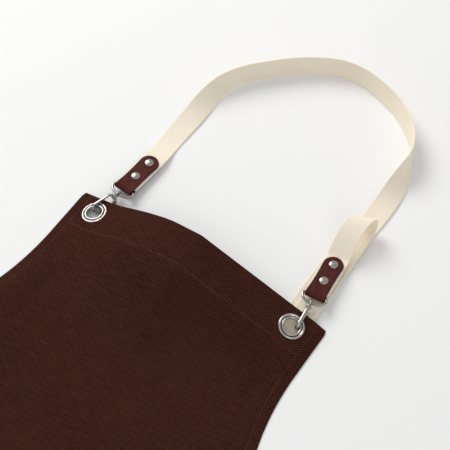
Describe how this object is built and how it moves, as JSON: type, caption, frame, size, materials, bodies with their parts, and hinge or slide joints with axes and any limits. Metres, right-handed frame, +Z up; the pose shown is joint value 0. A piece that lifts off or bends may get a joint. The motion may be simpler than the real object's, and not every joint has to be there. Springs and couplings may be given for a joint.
{
  "type": "butcher apron",
  "caption": "Bib apron in dark canvas, laid flat, with webbing cross-back straps ending in riveted leather tabs, D-rings and snap hooks clipped through bib eyelets.",
  "frame": {"origin": "middle of the whole apron's footprint, on the table it lies on", "axes": "+X to the right of the laid-out bib, +Y from the skirt's hem up the bib to the neck loop, +Z up off the table, out of the apron's front"},
  "size_m": [0.7, 1.1508, 0.0492],
  "materials": {
    "canvas": "dark brown waxed canvas, plain weave",
    "webbing": "cream cotton webbing, tan on its inner face",
    "leather": "reddish brown, smooth, burnished edges",
    "eyelet": "nickel plated, softly worn",
    "rivet": "nickel plated cap, softly worn",
    "hardware": "nickel plated, softly worn",
    "spring_wire": "bright spring wire"
  },
  "bodies": {
    "apron": {"apron_panel": "canvas", "bib_eyelet_left": "eyelet", "bib_eyelet_washer_left": "eyelet", "strap_left": "webbing", "leather_tab_left": "leather", "rivet_cap_left_lower": "rivet", "rivet_cap_left_upper": "rivet", "rivet_back_left_lower": "rivet", "rivet_back_left_upper": "rivet", "bib_eyelet_right": "eyelet", "bib_eyelet_washer_right": "eyelet", "strap_right": "webbing", "leather_tab_right": "leather", "rivet_cap_right_lower": "rivet", "rivet_cap_right_upper": "rivet", "rivet_back_right_lower": "rivet", "rivet_back_right_upper": "rivet"},
    "ring_left": {"d_ring_left": "hardware"},
    "eye_left": {"swivel_eye_left": "hardware"},
    "hook_left": {"hook_body_left": "hardware", "gate_pin_left": "hardware"},
    "gate_left": {"hook_gate_left": "hardware", "gate_spring_left": "spring_wire"},
    "ring_right": {"d_ring_right": "hardware"},
    "eye_right": {"swivel_eye_right": "hardware"},
    "hook_right": {"hook_body_right": "hardware", "gate_pin_right": "hardware"},
    "gate_right": {"hook_gate_right": "hardware", "gate_spring_right": "spring_wire"}
  },
  "joints": [
    {"name": "d_ring_tilt_left", "type": "hinge", "parent": "apron", "child": "ring_left", "pos_m": [-0.1185, 0.29862, 0.00743], "axis": [-0.9979, 0.0645, 0], "range_deg": [-2, 12]},
    {"name": "eye_on_ring_left", "type": "hinge", "parent": "ring_left", "child": "eye_left", "pos_m": [-0.11914, 0.28868, 0.00823], "axis": [-0.9979, 0.0645, 0], "range_deg": [-24, 4]},
    {"name": "hook_swivel_left", "type": "hinge", "parent": "eye_left", "child": "hook_left", "pos_m": [-0.11914, 0.28868, 0.00823], "axis": [-0.3334, -0.9416, -0.0464], "range_deg": [-8, 3]},
    {"name": "hook_gate_spring_left", "type": "hinge", "parent": "hook_left", "child": "gate_left", "pos_m": [-0.11956, 0.27823, 0.00334], "axis": [-0.7633, 0.2985, -0.573], "range_deg": [0, 8], "stiffness_Nm_per_rad": 0.004, "springref_deg": -17.19},
    {"name": "d_ring_tilt_right", "type": "hinge", "parent": "apron", "child": "ring_right", "pos_m": [0.1242, 0.29862, 0.01037], "axis": [-0.9956, -0.0941, 0], "range_deg": [-1, 16]},
    {"name": "eye_on_ring_right", "type": "hinge", "parent": "ring_right", "child": "eye_right", "pos_m": [0.12514, 0.2887, 0.01118], "axis": [-0.9956, -0.0941, 0], "range_deg": [-24, 4]},
    {"name": "hook_swivel_right", "type": "hinge", "parent": "eye_right", "child": "hook_right", "pos_m": [0.12514, 0.2887, 0.01118], "axis": [0.0906, -0.9956, -0.0226], "range_deg": [-8, 6]},
    {"name": "hook_gate_spring_right", "type": "hinge", "parent": "hook_right", "child": "gate_right", "pos_m": [0.12475, 0.27855, 0.00571], "axis": [-0.9658, -0.0934, 0.2419], "range_deg": [0, 8], "stiffness_Nm_per_rad": 0.004, "springref_deg": -17.19}
  ],
  "couplings": [
    {"joint": "eye_on_ring_left", "follows": "d_ring_tilt_left", "ratio": -1.31},
    {"joint": "eye_on_ring_right", "follows": "d_ring_tilt_right", "ratio": -1.31}
  ]
}
